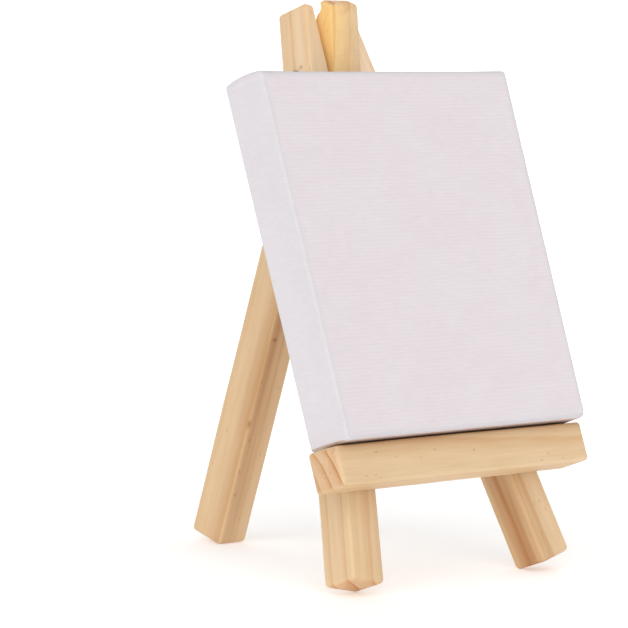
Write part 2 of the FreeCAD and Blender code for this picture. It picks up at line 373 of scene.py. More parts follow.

    # sawn ends are darker and stippled with cut fibres; long edges are paler and yellower, partly rubbed wear
    # and partly a painted edge highlight
    pore = node(tree, "ShaderNodeTexVoronoi", feature="F1", Scale=3600.0)
    link(grain, pore.inputs["Vector"])
    open_pore = ramp(tree, pore.outputs["Distance"], [(0.0, (0.70, 0.52, 0.40)), (0.42, (1.0, 1.0, 1.0))])
    end_tone = mix(tree, "MULTIPLY", 1.0, mix(tree, "MULTIPLY", 0.75, base, open_pore), (0.98, 0.93, 0.93))
    end_tone = mix(tree, "MULTIPLY", late_amount, end_tone, (0.88, 0.74, 0.64))
    base = mix(tree, "MIX", sawn, base, end_tone)
    edge_rub_and_highlight = maths(tree, "MULTIPLY", rubbed_edge_and_highlight, maths(tree, "MULTIPLY_ADD", blotch, 0.55, 0.15))
    base = mix(tree, "MIX", edge_rub_and_highlight, base, mix(tree, "SCREEN", 1.0, base, (0.22, 0.18, 0.05)))
    link(base, shader.inputs["Base Color"])

    rough = maths(tree, "MULTIPLY_ADD", fibre, 0.22, 0.44)
    rough = maths(tree, "MULTIPLY_ADD", late_amount, -0.10, rough)
    rough = maths(tree, "MULTIPLY_ADD", sawn, 0.18, rough)
    link(rough, shader.inputs["Roughness"])
    shader.inputs["Specular IOR Level"].default_value = 0.30

    height = maths(tree, "MULTIPLY_ADD", late_amount, 0.35, fibre)
    height = maths(tree, "MULTIPLY_ADD", speck, -1.2, height)
    height = maths(tree, "MULTIPLY_ADD", maths(tree, "MULTIPLY", sawn, pore.outputs["Distance"]), 1.4, height)
    if scar is not None:
        height = maths(tree, "MULTIPLY_ADD", scar, -2.2, height)
    bump = node(tree, "ShaderNodeBump", Strength=0.32, Distance=0.00012)
    link(height, bump.inputs["Height"])
    link(bump.outputs[0], shader.inputs["Normal"])
    return material


def cloth_material(name, tint, primed):
    """Cotton weave. The weave coordinates on the cloth run across, along, and through it."""
    material, tree, shader = new_material(name)
    link = tree.links.new
    weave = node(tree, "ShaderNodeAttribute", attribute_name="weave").outputs["Vector"]

    # threads wander a little from straight
    drift_map = node(tree, "ShaderNodeMapping")
    drift_map.inputs["Scale"].default_value = (140.0, 260.0, 1.0)
    link(weave, drift_map.inputs["Vector"])
    drift = node(tree, "ShaderNodeTexNoise", Scale=1.0, Detail=2.0, Roughness=0.5)
    link(drift_map.outputs[0], drift.inputs["Vector"])
    parts = node(tree, "ShaderNodeSeparateXYZ")
    link(weave, parts.inputs[0])
    shift = maths(tree, "MULTIPLY", maths(tree, "SUBTRACT", drift.outputs[0], 0.5), 0.00085)
    weft_place = maths(tree, "ADD", parts.outputs[1], shift)
    warp_place = maths(tree, "ADD", parts.outputs[0], shift)
    weft = maths(tree, "SINE", maths(tree, "MULTIPLY", weft_place, math.tau / 0.00082))
    warp = maths(tree, "SINE", maths(tree, "MULTIPLY", warp_place, math.tau / 0.00074))
    weft01 = maths(tree, "MULTIPLY_ADD", weft, 0.5, 0.5)
    warp01 = maths(tree, "MULTIPLY_ADD", warp, 0.5, 0.5)
    cross = maths(tree, "MULTIPLY", weft01, maths(tree, "MULTIPLY_ADD", warp01, 0.45, 0.55))

    # thick and thin lengths of yarn, and primer dabs
    slub_map = node(tree, "ShaderNodeMapping")
    slub_map.inputs["Scale"].default_value = (330.0, 1220.0, 1.0)
    link(weave, slub_map.inputs["Vector"])
    slub = node(tree, "ShaderNodeTexNoise", Scale=1.0, Detail=3.0, Roughness=0.6)
    link(slub_map.outputs[0], slub.inputs["Vector"])
    dab_map = node(tree, "ShaderNodeMapping")
    dab_map.inputs["Scale"].default_value = (60.0, 60.0, 60.0)
    link(weave, dab_map.inputs["Vector"])
    dab = node(tree, "ShaderNodeTexNoise", Scale=1.0, Detail=3.0, Roughness=0.5)
    link(dab_map.outputs[0], dab.inputs["Vector"])

    patches = ramp(tree, drift.outputs[0], [(0.32, 0.12), (0.68, 1.0)])
    calm = maths(tree, "MULTIPLY", maths(tree, "MULTIPLY_ADD", parts.outputs[2], -0.45, 0.75), patches)
    yarn = maths(tree, "MULTIPLY_ADD", slub.outputs[0], 1.15, maths(tree, "MULTIPLY", cross, calm))
    yarn_tone = ramp(tree, yarn, [(0.25, (0.925, 0.918, 0.925)), (0.95, (0.985, 0.985, 0.988))])
    base = mix(tree, "MULTIPLY", 1.0, tint, yarn_tone)
    if primed:
        # painted shade: the front of the side that stands on the shelf is tinted brown, standing in for the
        # shaded gap between the cloth and the shelf
        under = maths(tree, "MULTIPLY", parts.outputs[1], -1.0 / 0.050)
        painted_gap_shade = ramp(tree, under, [(0.0, (1.0, 1.0, 1.0)), (0.800, (1.0, 1.0, 1.0)),
                                   (0.815, (0.78, 0.62, 0.50)), (0.880, (0.78, 0.62, 0.50)),
                                   (0.940, (1.0, 1.0, 1.0))])
        base = mix(tree, "MULTIPLY", 1.0, base, painted_gap_shade)
    # painted shade: the cloth is darker round the rim and on the sides past it, dimming the light that the
    # rim and sides catch
    turned = ramp(tree, parts.outputs[2], [(0.0, (1.0, 1.0, 1.0)), (0.5, (0.945, 0.965, 0.975)),
                                           (0.75, (0.895, 0.925, 0.935)), (1.0, (0.950, 0.980, 0.990))])
    base = mix(tree, "MULTIPLY", 1.0, base, turned)
    dab_tone = ramp(tree, dab.outputs[0], [(0.35, (0.985, 0.980, 0.982)), (0.65, (1.003, 1.005, 1.006))])
    base = mix(tree, "MULTIPLY", 1.0, base, dab_tone)
    link(base, shader.inputs["Base Color"])
    rough = maths(tree, "MULTIPLY_ADD", slub.outputs[0], 0.18, 0.70 if primed else 0.78)
    link(rough, shader.inputs["Roughness"])
    shader.inputs["Specular IOR Level"].default_value = 0.22 if primed else 0.1
    shader.inputs["Sheen Weight"].default_value = 0.0 if primed else 0.15
    bump = node(tree, "ShaderNodeBump", Strength=0.4, Distance=0.00006 if primed else 0.00014)
    link(yarn, bump.inputs["Height"])
    link(bump.outputs[0], shader.inputs["Normal"])
    return material


def steel_material(name, tint):
    """Drawn wire with faint die lines and a little tarnish."""
    material, tree, shader = new_material(name)
    link = tree.links.new
    place = node(tree, "ShaderNodeTexCoord").outputs["Object"]
    scale = node(tree, "ShaderNodeMapping")
    scale.inputs["Scale"].default_value = (500.0, 2600.0, 2600.0)
    link(place, scale.inputs["Vector"])
    lines = node(tree, "ShaderNodeTexNoise", Scale=1.0, Detail=3.0, Roughness=0.6)
    link(scale.outputs[0], lines.inputs["Vector"])
    tarnish = node(tree, "ShaderNodeTexNoise", Scale=420.0, Detail=4.0, Roughness=0.6)
    link(place, tarnish.inputs["Vector"])
    tone = ramp(tree, tarnish.outputs[0], [(0.40, (0.72, 0.66, 0.58)), (0.62, (1.0, 1.0, 1.0))])
    base = mix(tree, "MULTIPLY", 1.0, tint, tone)
    link(base, shader.inputs["Base Color"])
    shader.inputs["Metallic"].default_value = 1.0
    rough = maths(tree, "MULTIPLY_ADD", lines.outputs[0], 0.25, 0.22)
    link(rough, shader.inputs["Roughness"])
    bump = node(tree, "ShaderNodeBump", Strength=0.2, Distance=0.00003)
    link(lines.outputs[0], bump.inputs["Height"])
    link(bump.outputs[0], shader.inputs["Normal"])
    return material


def shared(name, maker):
    """A material made once and used by every piece that needs it."""
    return bpy.data.materials.get(name) or maker()


def grain_place(place, wood):
    """Where a point of a stick lies in its tree."""
    heart, _gap, run, (lean_side, lean_face) = wood
    return Vector((place.x - heart[0] + lean_side * place.z, place.y - heart[1] + lean_face * place.z,
                   place.z + run))


def marks_in_grain():
    """The marks with their places in the grain."""
    return [(grain_place(Vector(place) * MM, WOOD[stick]), spread, depth)
            for stick, place, spread, depth in MARKS]


def pine():
    """Wood of the easel's sticks."""
    tint = colours()
    return shared("sanded_pine", lambda: wood_material(
        "sanded_pine", tuple(tint.early_wood), tuple(tint.late_wood), marks_in_grain()))


def bar_wood():
    """Plainer wood of the stretcher bars."""
    tint = colours()
    return shared("stretcher_pine", lambda: wood_material(
        "stretcher_pine", tuple(tint.bar_wood), tuple(tint.late_wood), []))


# --- Sticks ---------------------------------------------------------------

def section(half_a, half_b, edge, steps, sides):
    """Points round a rectangle with rounded corners, as (a, b), anticlockwise."""
    points = []
    corners = [(half_a - edge, half_b - edge, 0), (edge - half_a, half_b - edge, 90),
               (edge - half_a, edge - half_b, 180), (half_a - edge, edge - half_b, 270)]
    for index, (centre_a, centre_b, start) in enumerate(corners):
        for step in range(steps + 1):
            turn = math.radians(start + 90.0 * step / steps)
            points.append(Vector((centre_a + edge * math.cos(turn), centre_b + edge * math.sin(turn))))
        following = corners[(index + 1) % 4]
        first = points[-1]
        turn = math.radians(following[2])
        last = Vector((following[0] + edge * math.cos(turn), following[1] + edge * math.sin(turn)))
        for step in range(1, sides):
            points.append(first.lerp(last, step / sides))
    return points


def stick_body(half_a, half_b, low, high, edge, end_round, spacing=1.6 * MM, crown=0.0):
    """A squared stick along local z, from low to high, with rounded ends."""
    body = bmesh.new()
    turns = [math.radians(90.0 * step / 6) for step in range(7)]
    stations = [(low + end_round * (1.0 - math.cos(turn)), end_round * (1.0 - math.sin(turn)))
                for turn in turns]
    run = high - low - 2.0 * end_round
    count = max(8, round(run / spacing))
    for index in range(1, count):
        stations.append((low + end_round + run * index / count, 0.0))
    for turn in reversed(turns):
        stations.append((high - end_round * (1.0 - math.cos(turn)), end_round * (1.0 - math.sin(turn))))

    def ring_at(place, inset, shrink=1.0, lift=0.0):
        """One ring of points; shrink draws it towards the middle for the end faces."""
        points = section(half_a - inset, half_b - inset, max(edge - 0.6 * inset, 0.25 * MM), 5, 6)
        return [body.verts.new((a * shrink, b * shrink, place + lift)) for a, b in points]

    def bridge(first, second):
        """Quads between two rings."""
        for index in range(len(first)):
            after = (index + 1) % len(first)
            body.faces.new((first[index], first[after], second[after], second[index]))

    rings = [ring_at(place, inset) for place, inset in stations]
    for first, second in zip(rings, rings[1:]):
        bridge(first, second)
    for ring, place, inset, way in ((rings[0], stations[0][0], stations[0][1], -1.0),
                                    (rings[-1], stations[-1][0], stations[-1][1], 1.0)):
        outer = ring
        for shrink in (0.82, 0.6, 0.36, 0.14):
            inner = ring_at(place, inset, shrink, way * crown * (1.0 - shrink * shrink))
            bridge(outer, inner)
            outer = inner
        body.faces.new(outer)
    bmesh.ops.recalc_face_normals(body, faces=body.faces[:])
    return body


def cut_flat(body, point, normal, soften):
    """Cuts the stick with a plane, keeps the side behind the normal and softens the new edge."""
    geometry = body.verts[:] + body.edges[:] + body.faces[:]
    result = bmesh.ops.bisect_plane(
        body, geom=geometry, dist=1e-7, plane_co=point, plane_no=normal, clear_outer=True)
    rim = [item for item in result["geom_cut"] if isinstance(item, bmesh.types.BMEdge)]
    filled = bmesh.ops.holes_fill(body, edges=rim, sides=0)["faces"]
    if not filled:
        raise RuntimeError("a cut face did not close")
    rim = [edge for face in filled for edge in face.edges]
    if soften > 0.0:
        bmesh.ops.bevel(body, geom=list(set(rim)), offset=soften, offset_type="OFFSET", segments=3,
                        profile=0.6, affect="EDGES", clamp_overlap=True)


def keep_grain(body, half_a, half_b, edge, wood, ends, stick=""):
    """Stores where each point lies in the wood, how sawn it is, how near a rubbed edge with its painted
    highlight it is, and the patches it is in, painted light and shade among them.
    """
    grain = body.verts.layers.float_vector.new("grain")
    ends_edges_and_rings = body.verts.layers.float_vector.new("ends_edges_and_rings")
    tint = body.verts.layers.float_vector.new("wood_tone_and_painted_light")
    tones = [entry[1:] for entry in TONES if entry[0] == stick]
    for vert in body.verts:
        place = vert.co
        vert[grain] = grain_place(place, wood)
        gap_a = half_a - abs(place.x)
        gap_b = half_b - abs(place.y)
        # nearness to a long edge: rubbed wear, and also the mask of the painted edge highlight
        edge_rub_and_highlight = max(0.0, 1.0 - max(gap_a, gap_b) / (1.1 * edge))
        gap_end = min(place.z - ends[0], ends[1] - place.z)
        sawn = min(1.0, max(0.0, 1.0 - gap_end / (0.45 * MM)))
        vert[ends_edges_and_rings] = Vector((sawn, edge_rub_and_highlight * (1.0 - sawn), wood[1]))
        wood_tone_and_painted_light = Vector()
        for kind, middle, spread, strength in tones:
            reach = sum(((place[axis] / MM - middle[axis]) / spread[axis]) ** 2 for axis in range(3))
            wood_tone_and_painted_light[kind] += strength * math.exp(-reach)
        vert[tint] = wood_tone_and_painted_light


def hand_worked(body, amount, seed, keep_z=True):
    """Small unevenness of sawn and sanded wood."""
    body.normal_update()
    moves = []
    for vert in body.verts:
        place = Vector((vert.co.x * 90.0, vert.co.y * 90.0, vert.co.z * 45.0)) + Vector((seed, 0.0, 0.0))
        fine = Vector((vert.co.x * 420.0, vert.co.y * 420.0, vert.co.z * 130.0)) + Vector((0.0, seed, 0.0))
        depth = noise.noise(place) * amount + noise.noise(fine) * amount * 0.35 - 0.15 * amount
        move = vert.normal * depth
        if keep_z:
            move.z = 0.0
        moves.append(move)
    for vert, move in zip(body.verts, moves):
        vert.co += move


def settle(body, matrix, low, span):
    """Stretches the foot end along the stick until its lowest point meets the floor."""
    lowest = min((matrix @ vert.co).z for vert in body.verts)
    rise = (matrix.to_3x3() @ Vector((0.0, 0.0, 1.0))).z
    for vert in body.verts:
        if vert.co.z < low + span:
            vert.co.z -= lowest / rise * (1.0 - (vert.co.z - low) / span)


def finish_mesh(name, body, matrix, material, sharp=38.0):
    """Turns the bmesh into an object placed in the room."""
    body.transform(matrix)
    bmesh.ops.recalc_face_normals(body, faces=body.faces[:])
    limit = math.radians(sharp)
    for face in body.faces:
        face.smooth = True
    for edge in body.edges:
        edge.smooth = not (len(edge.link_faces) == 2 and edge.calc_face_angle(0.0) > limit)
    mesh = bpy.data.meshes.new(name)
    body.to_mesh(mesh)
    body.free()
    made = bpy.data.objects.new(name, mesh)
    bpy.context.scene.collection.objects.link(made)
    mesh.materials.append(material)
    return made


def stick_matrix(middle, along, out):
    """Places a stick's local z along a direction and its local y out of the frame."""
    along = along.normalized()
    side = out.cross(along).normalized()
    face = along.cross(side)
    matrix = Matrix((side, face, along)).transposed().to_4x4()
    matrix.translation = middle
    return matrix


# --- Pieces ---------------------------------------------------------------

def build_front_leg(side):
    """One front leg: square foot, square top, inner side cut upright beside the rear leg."""
    size = sizes()
    left = side < 0
    tilt = size.left_tilt if left else size.right_tilt
    reach = size.left_reach if left else size.right_reach
    mitre = size.left_mitre if left else size.right_mitre
    half_a, half_b = 0.5 * size.leg_width, 0.5 * size.leg_depth
    place = frame_matrix()
    along = Vector((-side * math.sin(tilt), math.cos(tilt), 0.0))
    inward = Vector((-side * math.cos(tilt), -math.sin(tilt), 0.0))
    foot = Vector((side * (reach + size.toe * math.tan(tilt)), -size.toe, 0.0))
    foot += Vector((-side * size.leg_width / math.cos(tilt), 0.0, 0.0))
    foot_centre = foot - inward * half_a + Vector((0.0, 0.0, -half_b))
    top_outer = Vector((side * (reach - size.tip * math.tan(tilt)), size.tip, 0.0))
    run = (top_outer - foot).dot(along)
    body = stick_body(half_a, half_b, 0.0, run, size.stick_edge, size.end_round, crown=0.12 * MM)
    to_plane = stick_matrix(foot_centre, along, Vector((0.0, 0.0, 1.0)))
    to_stick = to_plane.inverted()
    cut_point = to_stick @ Vector((side * mitre, size.tip, 0.0))
    cut_normal = to_stick.to_3x3() @ Vector((-side, 0.0, 0.0))
    cut_flat(body, cut_point, cut_normal, 0.16 * MM)
    stick = "left" if left else "right"
    keep_grain(body, half_a, half_b, size.stick_edge, WOOD[stick], (0.0, run), stick)
    hand_worked(body, 0.10 * MM, 3.0 if left else 17.0)
    settle(body, place @ to_plane, 0.0, 12.0 * MM)
    name = "left_leg_wood" if left else "right_leg_wood"
    leg = finish_mesh(name, body, place @ to_plane, pine())
    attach(leg, "front_frame")
    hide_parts("left_front_leg" if left else "right_front_leg")
    return leg


def chip_corner(body, half_a, half_b, top):
    """A small torn chip on the back left edge just under the top."""
    for vert in body.verts:
        side = vert.co.x - half_a + 1.4 * MM
        back = -vert.co.y - half_b + 0.6 * MM
        if side < 0.0 or back < 0.0:
            continue
        drop = (top - vert.co.z - 2.3 * MM) / (0.75 * MM)
        ragged = 1.0 + 0.6 * noise.noise(vert.co * 2600.0)
        depth = math.exp(-drop * drop) * ragged * min(1.0, min(side, back) / (0.5 * MM))
        vert.co.x -= 0.55 * MM * depth
        vert.co.y += 0.75 * MM * depth


def build_rear_leg():
    """The folding rear leg, bevelled at the front above the pin."""
    size = sizes()
    half_a, half_b = 0.5 * size.rear_width, 0.5 * size.rear_depth
    _across, up, out = frame_axes()
    turn = size.rear_angle
    along = up * math.cos(turn) + out * math.sin(turn)
    face = out * math.cos(turn) - up * math.sin(turn)
    low_end, high_end = -size.rear_foot, size.rear_top
    body = stick_body(half_a, half_b, low_end, high_end, size.stick_edge, size.end_round, 0.8 * MM, 0.35 * MM)
    for vert in body.verts:
        swell = min(1.0, max(0.0, (vert.co.z - 4.0 * MM) / (7.0 * MM)))
        if vert.co.y < 0.0:
            vert.co.y -= 0.35 * MM * swell * swell * (3.0 - 2.0 * swell) * -vert.co.y / half_b
    matrix = stick_matrix(PIN, along, face)
    place = frame_matrix()
    low = matrix.inverted() @ (place @ Vector((0.0, *BEVEL_LOW)))
    high = matrix.inverted() @ (place @ Vector((0.0, *BEVEL_HIGH)))
    slope = high - low
    normal = Vector((0.0, slope.z, -slope.y)).normalized()
    if normal.y < 0.0:
        normal = -normal
    cut_flat(body, low, normal, 0.22 * MM)
    keep_grain(body, half_a, half_b, size.stick_edge, WOOD["rear"], (low_end, high_end), "rear")
    hand_worked(body, 0.10 * MM, 29.0)
    chip_corner(body, half_a, half_b, high_end)
    settle(body, matrix, low_end, 12.0 * MM)
    leg = finish_mesh("rear_leg_wood", body, matrix, pine())
    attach(leg, "rear_strut")
    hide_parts("rear_leg")
    return leg


def build_shelf():
    """The ledge that the canvas stands on."""
    size = sizes()
    half_a, half_b = 0.5 * size.shelf_height, 0.5 * size.shelf_depth
    half = 0.5 * size.shelf_length
    body = stick_body(half_a, half_b, -half, half, size.stick_edge, size.end_round, crown=0.10 * MM)
    for vert in body.verts:
        if vert.co.x > half_a - 1.2 * MM and vert.co.y > 0.0:
            vert.co.x -= 0.22 * MM * min(1.0, vert.co.y / (0.6 * half_b))
    middle = Vector((size.shelf_shift, -half_a, half_b))
    matrix = frame_matrix() @ stick_matrix(middle, Vector((1.0, 0.0, 0.0)), Vector((0.0, 0.0, 1.0)))
    keep_grain(body, half_a, half_b, size.stick_edge, WOOD["shelf"], (-half, half), "shelf")
    hand_worked(body, 0.10 * MM, 41.0)
    shelf = finish_mesh("shelf_wood", body, matrix, pine())
    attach(shelf, "front_frame")
    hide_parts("shelf")
    return shelf


def build_bars():
    """Four mitred stretcher bars behind the cloth."""
    size = sizes()
    cloth = size.cloth
    half_depth = 0.5 * (size.canvas_depth - 2.0 * cloth) - 0.06 * MM
    half_width = 0.5 * size.bar_width
    base = 0.02 * MM
    half_u = 0.5 * size.canvas_width - cloth
    low_v, high_v = base + cloth, base + size.canvas_height - cloth
    middle_v = 0.5 * (low_v + high_v)
    half_v = 0.5 * (high_v - low_v)
    middle_w = base + 0.5 * size.canvas_depth
    place = frame_matrix()
    made = []
    for index, (name, direction) in enumerate((
            ("stretcher_top", Vector((0, 1, 0))), ("stretcher_bottom", Vector((0, -1, 0))),
            ("stretcher_left", Vector((-1, 0, 0))), ("stretcher_right", Vector((1, 0, 0))))):
        upright = abs(direction.x) > 0.5
        reach = half_u if upright else half_v
        run = half_v if upright else half_u
        along = Vector((0, 1, 0)) if upright else Vector((1, 0, 0))
        middle = Vector((0.0, middle_v, middle_w)) + direction * (reach - half_width)
        body = stick_body(half_width - 0.04 * MM, half_depth, 0.05 * MM - run, run - 0.05 * MM,
                          0.5 * MM, 0.2 * MM)
        to_plane = stick_matrix(middle, along, Vector((0, 0, 1)))
        to_stick = to_plane.inverted()
        for end in (-1.0, 1.0):
            corner = Vector((0.0, middle_v, middle_w)) + direction * reach + along * end * run
            normal = (along * end - direction).normalized()
            cut_flat(body, to_stick @ corner - (to_stick.to_3x3() @ normal) * 0.03 * MM,
                     to_stick.to_3x3() @ normal, 0.0)
        heart = ((8.0 - 3.0 * index) * MM, (-7.0 + 5.0 * (index % 2)) * MM)
        wood = (heart, 2.2 * MM, 3.1 + 0.7 * index, (0.01, 0.004))
        keep_grain(body, half_width, half_depth, 0.5 * MM, wood, (-9.0, 9.0))
        hand_worked(body, 0.07 * MM, 50.0 + 7.0 * index)
        bar = finish_mesh(name + "_wood", body, place @ to_plane, bar_wood())
        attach(bar, "canvas")
        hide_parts(name)
        made.append(bar)
    return made


def rounded_outline(x, y, half_x, half_y, radius):
    """Pulls a point on a rectangle's outline in to a rounded corner."""
    inner_x, inner_y = half_x - radius, half_y - radius
    if abs(x) <= inner_x or abs(y) <= inner_y:
        return x, y
    centre = Vector((math.copysign(inner_x, x), math.copysign(inner_y, y)))
    reach = (Vector((x, y)) - centre).normalized() * radius
    return centre.x + reach.x, centre.y + reach.y


def ease(value):
    """Smooth step from 0 to 1."""
    value = min(1.0, max(0.0, value))
    return value * value * (3.0 - 2.0 * value)


def corner_radius(x, y):
    """The cloth's lower right corner is rounder than the rest."""
    return 1.9 * MM if x > 0.0 > y else 0.7 * MM


def closing_steps(index, count, half):
    """Steps from -half to half that close up towards the two ends."""
    t = 2.0 * index / count - 1.0
    return half * (1.18 * t - 0.18 * t * t * t)


def pull_by_hand(x, y, w, half_x, half_y, depth):
    """Where hand stretching leaves a point: a little out of square, with folds at the corners."""
    rise = y / half_y
    if x > 0.0:
        x += x / half_x * (0.30 * MM + 0.62 * MM * rise)
    else:
        x += x / half_x * 0.22 * MM * (1.0 + rise)
    back = min(1.0, max(0.0, (w - CLOTH_BASE) / depth))
    fold = math.sin(math.pi * back) ** 0.7 * (1.0 - ease((half_x - abs(x)) / (13.0 * MM)))
    if y > half_y - 1.5 * MM:
        y += (0.80 if x < 0.0 else 0.45) * MM * fold
    if y < -half_y + 1.5 * MM:
        near_end = ease((abs(x) - half_x + 5.0 * MM) / (4.0 * MM))
        lift = 0.12 * MM * (1.0 - near_end * (1.0 if x > 0.0 else 0.35))
        y += lift * (1.0 - ease((y + half_y) / (1.5 * MM)))
    return x, y


def cloth_profile(front, hem):
    """From the face to the hem: distance in, distance out, length of cloth, share of the bow."""
    profile = []
    for step in range(1, RIM_STEPS + 1):
        turn = math.radians(90.0 * step / RIM_STEPS)
        profile.append((CLOTH_RIM * (1.0 - math.sin(turn)), front - CLOTH_RIM * (1.0 - math.cos(turn)),
                        CLOTH_RIM * turn, 0.0))
    side_high, side_low = front - CLOTH_RIM, CLOTH_BASE + CLOTH_TURN_BACK
    run = CLOTH_RIM * math.pi / 2
    for step in range(1, WALL_STEPS + 1):
        w = side_high + (side_low - side_high) * step / WALL_STEPS
        profile.append((0.0, w, run + side_high - w, math.sin(math.pi * step / WALL_STEPS) ** 0.5))
    run += side_high - side_low
    for step in range(1, BACK_STEPS + 1):
        turn = math.radians(90.0 * step / BACK_STEPS)
        profile.append((CLOTH_TURN_BACK * (1.0 - math.cos(turn)),
                        side_low - CLOTH_TURN_BACK * math.sin(turn), run + CLOTH_TURN_BACK * turn, 0.0))
    run += CLOTH_TURN_BACK * math.pi / 2
    for step in range(1, HEM_STEPS + 1):
        move = (hem - CLOTH_TURN_BACK) * step / HEM_STEPS
        profile.append((CLOTH_TURN_BACK + move, CLOTH_BASE, run + move, 0.0))
    return profile


def cloth_body(half_x, half_y, depth, hem):
    """The cloth's outer surface: a face, then a ring for each step of the profile."""
    body = bmesh.new()
    weave = body.verts.layers.float_vector.new("weave")

    def add(x, y, w, flat_x, flat_y, kind):
        """Adds a point of the cloth; kind is 0 on the face, 0.75 round the rim and 1 past it."""
        px, py = pull_by_hand(x, y, w, half_x, half_y, depth)
        vert = body.verts.new((px, py + CLOTH_BASE + half_y, w))
        vert[weave] = Vector((flat_x, flat_y, kind))
        return vert

    inner_x, inner_y = half_x - CLOTH_RIM, half_y - CLOTH_RIM
    front = CLOTH_BASE + depth
    rows = []
    for j in range(FACE_ROWS + 1):
        row = []
        for i in range(FACE_COLUMNS + 1):
            x = closing_steps(i, FACE_COLUMNS, inner_x)
            y = closing_steps(j, FACE_ROWS, inner_y)
            corner = max(corner_radius(x, y) - CLOTH_RIM, 0.2 * MM)
            px, py = rounded_outline(x, y, inner_x, inner_y, corner)
            edge_gap = max(0.0, min(inner_x - abs(x), inner_y - abs(y)))
            slack = -0.10 * MM * min(1.0, edge_gap / (9.0 * MM))
            ripple = noise.noise(Vector((x * 55.0, y * 55.0, 2.0)))
            slack += 0.04 * MM * ripple * min(1.0, edge_gap / (3.0 * MM))
            row.append(add(px, py, front + slack, x, y, ease(1.0 - edge_gap / (0.9 * MM)) * 0.5))
        rows.append(row)
    for j in range(FACE_ROWS):
        for i in range(FACE_COLUMNS):
            body.faces.new((rows[j][i], rows[j][i + 1], rows[j + 1][i + 1], rows[j + 1][i]))

    walk = [(i, 0) for i in range(FACE_COLUMNS)]
    walk += [(FACE_COLUMNS, j) for j in range(FACE_ROWS)]
    walk += [(i, FACE_ROWS) for i in range(FACE_COLUMNS, 0, -1)]
    walk += [(0, j) for j in range(FACE_ROWS, 0, -1)]
    flat = [(closing_steps(i, FACE_COLUMNS, 1.0), closing_steps(j, FACE_ROWS, 1.0)) for i, j in walk]
    previous = [rows[j][i] for i, j in walk]
    for level, (inset, w, run, wall) in enumerate(cloth_profile(front, hem)):
        kind = 0.75 if level < RIM_STEPS - 1 else 1.0
        current = []
        outline_x, outline_y = half_x - inset, half_y - inset
        for fx, fy in flat:
            corner = max(corner_radius(fx, fy) - inset, 0.15 * MM)
            x, y = rounded_outline(fx * outline_x, fy * outline_y, outline_x, outline_y, corner)
            on_x = abs(abs(fx) - 1.0) < 1e-6 and abs(fy) < 0.999
            bow = (1.0 - (fy if on_x else fx) ** 4) * wall
            ripple = noise.noise(Vector((x * 160.0, y * 160.0, w * 200.0)))
            tuck = 0.10 * MM * bow + 0.03 * MM * wall * ripple
            if on_x:
                x -= math.copysign(tuck, fx)
                flat_x, flat_y = math.copysign(inner_x + run, fx), fy * half_y
            else:
                y -= math.copysign(tuck, fy)
                flat_x, flat_y = fx * half_x, math.copysign(inner_y + run, fy)
            current.append(add(x, y, w, flat_x, flat_y, kind))
        for index in range(len(current)):
            after = (index + 1) % len(current)
            body.faces.new((previous[index], current[index], current[after], previous[after]))
        previous = current
    return body


def build_cloth():
    """Primed cotton stretched over the bars, turned over the back and folded at the corners."""
    size = sizes()
    depth, hem = size.canvas_depth, size.hem
    tint = colours()
    primed = shared("primed_cotton", lambda: cloth_material("primed_cotton", tuple(tint.primer), True))
    raw = shared("raw_cotton", lambda: cloth_material("raw_cotton", tuple(tint.raw_cloth), False))
    body = cloth_body(0.5 * size.canvas_width, 0.5 * size.canvas_height, depth, hem)
    place = frame_matrix()
    body.transform(place)
    bmesh.ops.recalc_face_normals(body, faces=body.faces[:])
    for face in body.faces:
        face.smooth = True
    mesh = bpy.data.meshes.new("primed_cloth")
    body.to_mesh(mesh)
    body.free()
    made = bpy.data.objects.new("primed_cloth", mesh)
    bpy.context.scene.collection.objects.link(made)
    to_frame = place.inverted()
    front_face = max(mesh.polygons, key=lambda face: (to_frame @ face.center).z)
    if front_face.normal.dot(frame_axes()[2]) < 0.0:
        mesh.flip_normals()
    mesh.materials.append(primed)
    mesh.materials.append(raw)
    solid = made.modifiers.new("thickness", "SOLIDIFY")
    solid.thickness = size.cloth - 0.08 * MM
    solid.offset = -1.0
    solid.material_offset = 1
    solid.material_offset_rim = 1
    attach(made, "canvas")
    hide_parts("canvas_cloth")
    return made


def build_fixings():
    """Steel finish for the pin, the brads and the staples."""
    tint = colours()
    wire = shared("bright_wire", lambda: steel_material("bright_wire", tuple(tint.steel)))
    nail = shared("dull_nail", lambda: steel_material("dull_nail", tuple(tint.nail)))
    for name, finish in (("pivot_pin", nail), ("shelf_brads", nail), ("hem_staples", wire),
                         ("corner_staples", wire)):
        for slot in frame["nodes"][name].material_slots:
            slot.material = finish


